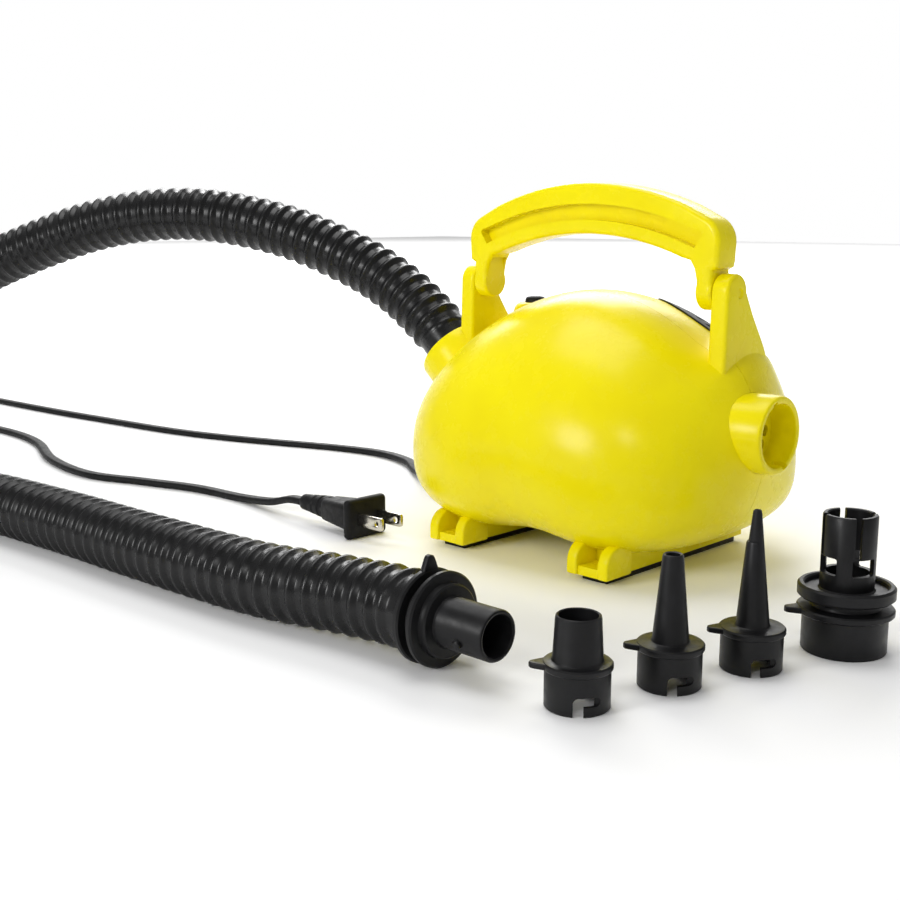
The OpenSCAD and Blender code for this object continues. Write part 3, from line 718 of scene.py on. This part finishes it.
# ---- runners and pads ------------------------------------------------------------------------
def make_runner(side, material):
    """A runner: a long foot with two rounded lugs and a plate between them at the front."""
    x = side * RUNNER_X
    runner = block((x - 8, -40, 3), (x + 8, 58, 17))
    carve(runner, form(0.3, 96, 64))
    base = block((x - 7.2, -52.5, 3), (x + 7.2, -36, 7))
    carve(runner, base, "UNION")
    for k in (-1, 1):
        lug = block((x + 8.35 * k - 2.75, -54, 3), (x + 8.35 * k + 2.75, -36, 17))
        edit(lug, "EDGE")
        pick(lug, lambda at, way: at.z > 16.9 and at.y < -53.9 and abs(way.x) > 0.9, "EDGE")
        bpy.ops.mesh.bevel(offset=8.5, segments=10, affect="EDGES")
        bpy.ops.object.mode_set(mode="OBJECT")
        round_edges(lug, 1.0, 3, 50)
        carve(runner, lug, "UNION")
    shade(runner)
    name = "left" if side < 0 else "right"
    place(runner, f"{name}_foot", BODY, "yellow_abs", [f"runner_{name}"], material)


def make_pad(side, material):
    x = side * RUNNER_X
    pad = block((x - 6.7, -48, 0), (x + 6.7, 54, 3))
    edit(pad, "FACE")
    pick(pad, lambda at, way: way.z < -0.9)
    bpy.ops.mesh.inset(thickness=1.4)
    bpy.ops.mesh.extrude_region_move(TRANSFORM_OT_translate={"value": (0, 0, 0.6)})
    bpy.ops.object.mode_set(mode="OBJECT")
    ease(pad, 0.4, 3)
    name = "left" if side < 0 else "right"
    place(pad, f"{name}_sole", BODY, "black_rubber", [f"pad_{name}"], material)


# ---- fittings ----------------------------------------------------------------------------------
TAB_HALF = 5.2


def tab(radius, reach, thick):
    """A thumb tab: a blunt pointed plate that stands out from a disc."""
    root, tip = radius * 0.75, radius + reach
    outline = [(0, -TAB_HALF), (root, -TAB_HALF), (tip - 1.4, -1.9), (tip - 0.4, -1.2), (tip, 0),
               (tip - 0.4, 1.2), (tip - 1.4, 1.9), (root, TAB_HALF), (0, TAB_HALF)]
    return plate(outline, thick)


END_Y, END_Z = -168, 17.4


def make_hose_end(material):
    """The free end of the hose: two discs with a groove between, a shoulder and the spigot."""
    part = turned([(7.4, 60), (16.6, 60), (17.3, 60.5), (17.3, 62), (16.7, 62.6), (13.6, 62.9), (13.2, 63.6),
                   (13.2, 65.6), (13.6, 66.2), (16.7, 66.4), (17.3, 67), (17.3, 68.4), (16.6, 69),
                   (13.6, 69.2), (13.4, 69.6), (13.4, 71.4), (12.8, 72), (9.5, 72.2), (9.2, 72.7),
                   (9.2, 93.2), (8.9, 93.8), (8.3, 94), (7.7, 93.8), (7.4, 93.2), (7.4, 60)],
                  (0, END_Y, END_Z), ALONG_X, 96)
    thumb = moved(tab(17.3, 5, 2.4), (60.1, END_Y, END_Z), (0, 90, 0))
    for point in thumb.data.vertices:
        point.co.z = 2 * END_Z - point.co.z
    tidy_normals(thumb)
    round_edges(thumb, 0.5, 3, 50)
    carve(thumb, rod(12.5, 6, (58, END_Y, END_Z), ALONG_X))
    carve(part, thumb, "UNION")
    pin = turned([(1.7, 8), (1.7, 10.2), (1.4, 10.5), (0.5, 10.6)], (0, 0, 0), sides=24)
    moved(pin, (83.4, END_Y, END_Z), (110, 0, 0))
    carve(part, pin, "UNION")
    shade(part)
    place(part, "hose_end_fitting", BODY, "black_plastic", ["hose_end"], material)
    return part


SKIRT_BORE = 9.4
TAB_TURN = 224


def skirt_slots():
    """The tools that cut the two hooked locking slots into an adapter's skirt."""
    hook = [(-1.7, -1), (1.7, -1), (1.7, 3.4), (5.6, 3.4)]
    hook += [(5.6 + 1.6 * math.cos(math.radians(a)), 5 + 1.6 * math.sin(math.radians(a)))
             for a in range(-72, 90, 18)]
    hook += [(0.3 + 2 * math.cos(math.radians(a)), 4.6 + 2 * math.sin(math.radians(a)))
             for a in range(90, 181, 15)]
    return [moved(plate(hook, 5, (SKIRT_BORE - 1.5, 0, 0), (90, 0, 90)), (0, 0, 0), (0, 0, k - 50))
            for k in (0, 180)]


def skirted(profile):
    """An adapter turned from its profile, with its thumb tab and its two locking slots."""
    part = turned(profile, sides=96)
    thumb = moved(tab(10.9, 5, 2.0), (0, 0, 13.2), (0, 0, TAB_TURN))
    round_edges(thumb, 0.45, 3, 50)
    carve(thumb, rod(5.5, 6, (0, 0, 12)))
    carve(part, thumb, "UNION")
    for tool in skirt_slots():
        carve(part, tool)
    return part


def cone_profile(base, tip, top, inner, lip):
    """Profile of a cone adapter: skirt, flange, cone and its bore, as one closed line."""
    return [(SKIRT_BORE, 0.5), (9.8, 0), (10.5, 0), (10.9, 0.5), (10.9, 12.8), (11.3, 13.1), (11.6, 13.6),
            (11.6, 14.9), (11.1, 15.4), (base + 0.9, 15.5), (base + 0.3, 15.9), (base, 16.8),
            (tip + 0.1, top - 1.2), (tip - lip * 0.2, top - 0.3), (tip - lip, top), (inner, top - 0.3),
            (inner, 14), (SKIRT_BORE, 12.6), (SKIRT_BORE, 0.5)]


ADAPTER_AT = {"short": (124, -163, 0), "long": (135, -127, 0), "fine": (146, -93, 0), "valve": (160, -52, 0)}


def make_adapters(material):
    short = skirted(cone_profile(8.3, 7.5, 31, 6.6, 0.5))
    moved(short, ADAPTER_AT["short"])
    long = skirted(cone_profile(6.2, 3.5, 46, 2.4, 0.5))
    moved(long, ADAPTER_AT["long"])
    fine = skirted(cone_profile(5.8, 1.5, 57, 0.7, 0.4))
    step = turned([(1, 16), (5.8, 16.4), (3.4, 45.2), (3.1, 45.9), (1, 46.3)], (0, 0, 0), sides=64)
    keep = block((-8, 0.2, 10), (8, 9, 60))
    moved(keep, (0, 0, 0), (0, 0, 134))
    carve(step, keep, "INTERSECT")
    carve(fine, step, "UNION")
    carve(fine, rod(0.8, 20, (0, 0, 44), sides=24))
    moved(fine, ADAPTER_AT["fine"])
    valve = turned([(13.6, 0.5), (14, 0), (14.9, 0), (15.3, 0.6), (15.3, 13.6), (16.9, 14), (17.4, 14.5),
                    (17.4, 16.1), (16.9, 16.6), (12.8, 16.9), (12.4, 17.5), (12.4, 19.3), (12.8, 19.9),
                    (16.6, 20), (17.4, 20.8), (17.4, 24.2), (16.6, 25), (15.4, 25), (14.8, 24.4), (14.6, 23),
                    (10.2, 23), (9.7, 23.6), (9.7, 50.4), (9.3, 51), (8.2, 51), (7.8, 50.5), (7.8, 11.5),
                    (13.2, 11.2), (13.6, 10.6), (13.6, 0.5)], sides=96)
    thumb = moved(tab(17.4, 5, 2.2), (0, 0, 14.2), (0, 0, TAB_TURN))
    round_edges(thumb, 0.45, 3, 50)
    carve(thumb, rod(11, 6, (0, 0, 12)))
    carve(valve, thumb, "UNION")
    for angle in (-44, 46):
        slit = moved(block((-1.2, -14, 36), (1.2, 14, 60)), (0, 0, 0), (0, 0, angle))
        window = block((-4.6, -14, 29.5), (4.6, 14, 35.8))
        round_edges(window, 0.8, 3, 60)
        moved(window, (0, 0, 0), (0, 0, angle + 18))
        carve(valve, slit)
        carve(valve, window)
    moved(valve, ADAPTER_AT["valve"])
    for part, name in ((short, "short"), (long, "long"), (fine, "fine"), (valve, "valve")):
        shade(part)
        place(part, f"{name}_cone" if name != "valve" else "valve_tube", f"adapter_{name}_loose",
              "black_plastic", [f"adapter_{name}"], material)


# ---- plug and cord entry ------------------------------------------------------------------------
PLUG_AT = (-85, -65, 10)


def make_plug(material):
    """A moulded two-blade plug: a broad front shield, a waisted grip and a tapered relief."""
    x, y, z = PLUG_AT
    body = block((x - 5, y - 13, z - 10), (x, y + 13, z + 10))
    round_edges(body, 3.2, 6, 60)
    grip = block((x - 28, y - 10.5, z - 7), (x - 3, y + 10.5, z + 7))
    edit(grip, "FACE")
    pick(grip, lambda at, way: way.x < -0.9)
    bpy.ops.transform.resize(value=(1, 0.62, 0.8), center_override=(x - 28, y, z))
    bpy.ops.mesh.extrude_region_move(TRANSFORM_OT_translate={"value": (-3, 0, 0)})
    bpy.ops.transform.resize(value=(1, 0.72, 0.72), center_override=(x - 31, y, z))
    bpy.ops.object.mode_set(mode="OBJECT")
    round_edges(grip, 2.6, 5, 25)
    carve(body, grip, "UNION")
    for k in range(4):
        for side in (-1, 1):
            groove = block((x - 24 + 4.2 * k, y - 20, z + side * 7.9 - 1.2),
                           (x - 22.4 + 4.2 * k, y + 20, z + side * 7.9 + 1.2))
            carve(body, groove)
    relief = turned([(6, 0), (5.9, 3), (5.2, 3.6), (5.2, 5), (5.7, 5.6), (5.4, 8.4), (4.7, 9), (4.7, 10.4),
                     (5.1, 11), (4.8, 13.6), (4.2, 14.2), (4.2, 15.6), (4.5, 16.2), (4.1, 20.4), (3.7, 21)],
                    (x - 28, y, z), (0, -90, 0), 48)
    carve(body, relief, "UNION")
    shade(body, 38)
    place(body, "mains_plug_moulding", BODY, "black_rubber", ["plug_body"], material)
    return body


BLADE_OFF, BLADE_LONG, BLADE_HALF_THICK, BLADE_HALF_WIDE = 6.35, 17.5, 0.75, 3.175


def make_blades(material):
    """The two flat blades with rounded corners and a round hole near each tip."""
    x, y, z = PLUG_AT
    pair = None
    for side in (-1, 1):
        middle = y + side * BLADE_OFF
        blade = block((x, middle - BLADE_HALF_THICK, z - BLADE_HALF_WIDE),
                      (x + BLADE_LONG, middle + BLADE_HALF_THICK, z + BLADE_HALF_WIDE))
        edit(blade, "EDGE")
        pick(blade, lambda at, way: at.x > x + 17 and abs(way.y) > 0.9, "EDGE")
        bpy.ops.mesh.bevel(offset=1.5, segments=4, affect="EDGES")
        bpy.ops.object.mode_set(mode="OBJECT")
        carve(blade, rod(1.5, 4, (x + 13.5, middle - 2, z), ALONG_Y, 32))
        round_edges(blade, 0.12, 2, 50)
        pair = carve(pair, blade, "UNION") if pair else blade
    shade(pair, 30)
    place(pair, "plug_pins", BODY, "nickel", ["plug_blades"], material)
    return pair


def make_gland(material):
    """The rubber boot where the cord leaves the housing, ringed so that it bends evenly."""
    profile = [(3.0, 0.6), (3.6, 0), (4.2, 0.3), (4.3, 2.2), (3.7, 2.8), (3.7, 3.8), (4.4, 4.4), (4.6, 6.4),
               (4.0, 7), (4.0, 8), (4.8, 8.6), (4.9, 10.6), (4.3, 11.2), (4.3, 12.2), (5.1, 12.8), (5.3, 16),
               (5.3, 16.6), (6.6, 17.1), (7, 17.6), (7, 18.6), (6.6, 19), (5.45, 19.2), (5.45, 36),
               (3, 36), (3.0, 0.6)]
    boot = turned(profile, CORD_EXIT, ALONG_X, 48)
    shade(boot, 38)
    place(boot, "cord_boot", BODY, "black_rubber", ["cord_gland"], material)


# ---- pieces whose CAD shape is kept ------------------------------------------------------------
def finish_inner(finishes):
    """Gives each CAD part whose mesh is kept a finish. Those of the shaft, the motor frame and the
    brushes are not the ones that the record names."""
    used = {"handle_pins": "zinc_steel", "shaft": "core_steel", "bearings": "zinc_steel",
            "shell_screws": "zinc_steel", "motor_frame": "core_steel", "armature": "core_steel",
            "field_windings": "copper", "commutator": "copper", "brush_holders": "brass",
            "brushes": "black_rubber", "impeller": "fan_nylon", "diffuser": "natural_nylon",
            "fan_cover": "black_plastic", "end_bracket": "black_plastic",
            "motor_ring": "black_rubber", "switch_body": "black_plastic",
            "hose_connector": "black_plastic"}
    for node, name in used.items():
        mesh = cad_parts[node].data
        mesh.materials.clear()
        mesh.materials.append(finishes[name])


# ---- floor and light ------------------------------------------------------------------------------
def make_floor():
    """A pale, wide, flat floor."""
    rest()
    bpy.ops.mesh.primitive_plane_add(size=12)
    floor = bpy.context.object
    floor.name = "studio_floor"
    finish = start_material("studio_floor_white", Base_Color=tone("#FBFBFB"), Roughness=0.9,
                            Specular_IOR_Level=0.1)[0]
    floor.data.materials.append(finish)


LIGHTS = {
    # name: place, size and power; all but the wall wash look at the middle of the housing
    "front_softbox": ((-0.25, -1.25, 0.5), 0.36, 6.6),
    "catch_light": ((0.52, -1.08, 0.8), 0.16, 1.7),
    "overhead_panel": ((-0.35, 0.0, 1.5), 0.9, 8.6),
    "wall_wash": ((-2.6, 2.7, 2.2), 3.0, 190.0),
}
ROOM = 0.36


def make_lights():
    """The lamps, and a studio room that is white where the camera looks and grey elsewhere."""
    for name, (at, size, watts) in LIGHTS.items():
        lamp = bpy.data.lights.new(name, "AREA")
        lamp.shape = "SQUARE"
        lamp.size = size
        lamp.energy = watts
        light = bpy.data.objects.new(name, lamp)
        bpy.context.scene.collection.objects.link(light)
        light.location = at
        aim = Vector((-2.6, 2.7, 0)) if name == "wall_wash" else Vector((0, 0, 0.08))
        light.rotation_euler = (Vector(at) - aim).to_track_quat("Z", "Y").to_euler()
    world = bpy.data.worlds.new("studio_room")
    world.use_nodes = True
    tree = world.node_tree
    wall_way = (-math.sin(math.radians(CAMERA_TURN)), math.cos(math.radians(CAMERA_TURN)), 0)
    where = put(tree, "ShaderNodeTexCoord").outputs["Generated"]
    facing = put(tree, "ShaderNodeVectorMath", [(0, where)], operation="DOT_PRODUCT")
    facing.inputs[1].default_value = wall_way
    wall = put(tree, "ShaderNodeMapRange", [("Value", facing.outputs["Value"])],
               interpolation_type="SMOOTHSTEP", From_Min=0.66, From_Max=0.86, To_Min=ROOM, To_Max=1.0)
    background = tree.nodes["Background"]
    background.inputs["Color"].default_value = tone("#FFFFFF")
    tree.links.new(wall.outputs["Result"], background.inputs["Strength"])
    bpy.context.scene.world = world
    bpy.context.scene.view_settings.view_transform = "Standard"


rest()
make_camera()
finishes = make_materials()
hose, hose_path = make_hose(finishes["black_hose"])
cord, cord_path = make_cord(finishes["black_rubber"])
make_shells(finishes["yellow_abs"])
make_vent(finishes["black_plastic"])
make_button(finishes["black_rubber"])
make_inlet(finishes["yellow_abs"])
make_outlet(finishes["yellow_abs"])
make_handle(finishes["yellow_abs"])
for side in (-1, 1):
    make_runner(side, finishes["yellow_abs"])
    make_pad(side, finishes["black_rubber"])
hose_end = make_hose_end(finishes["black_plastic"])
make_adapters(finishes["black_plastic"])
plug = make_plug(finishes["black_rubber"])
blades = make_blades(finishes["nickel"])
make_gland(finishes["black_rubber"])
finish_inner(finishes)
make_floor()
make_lights()
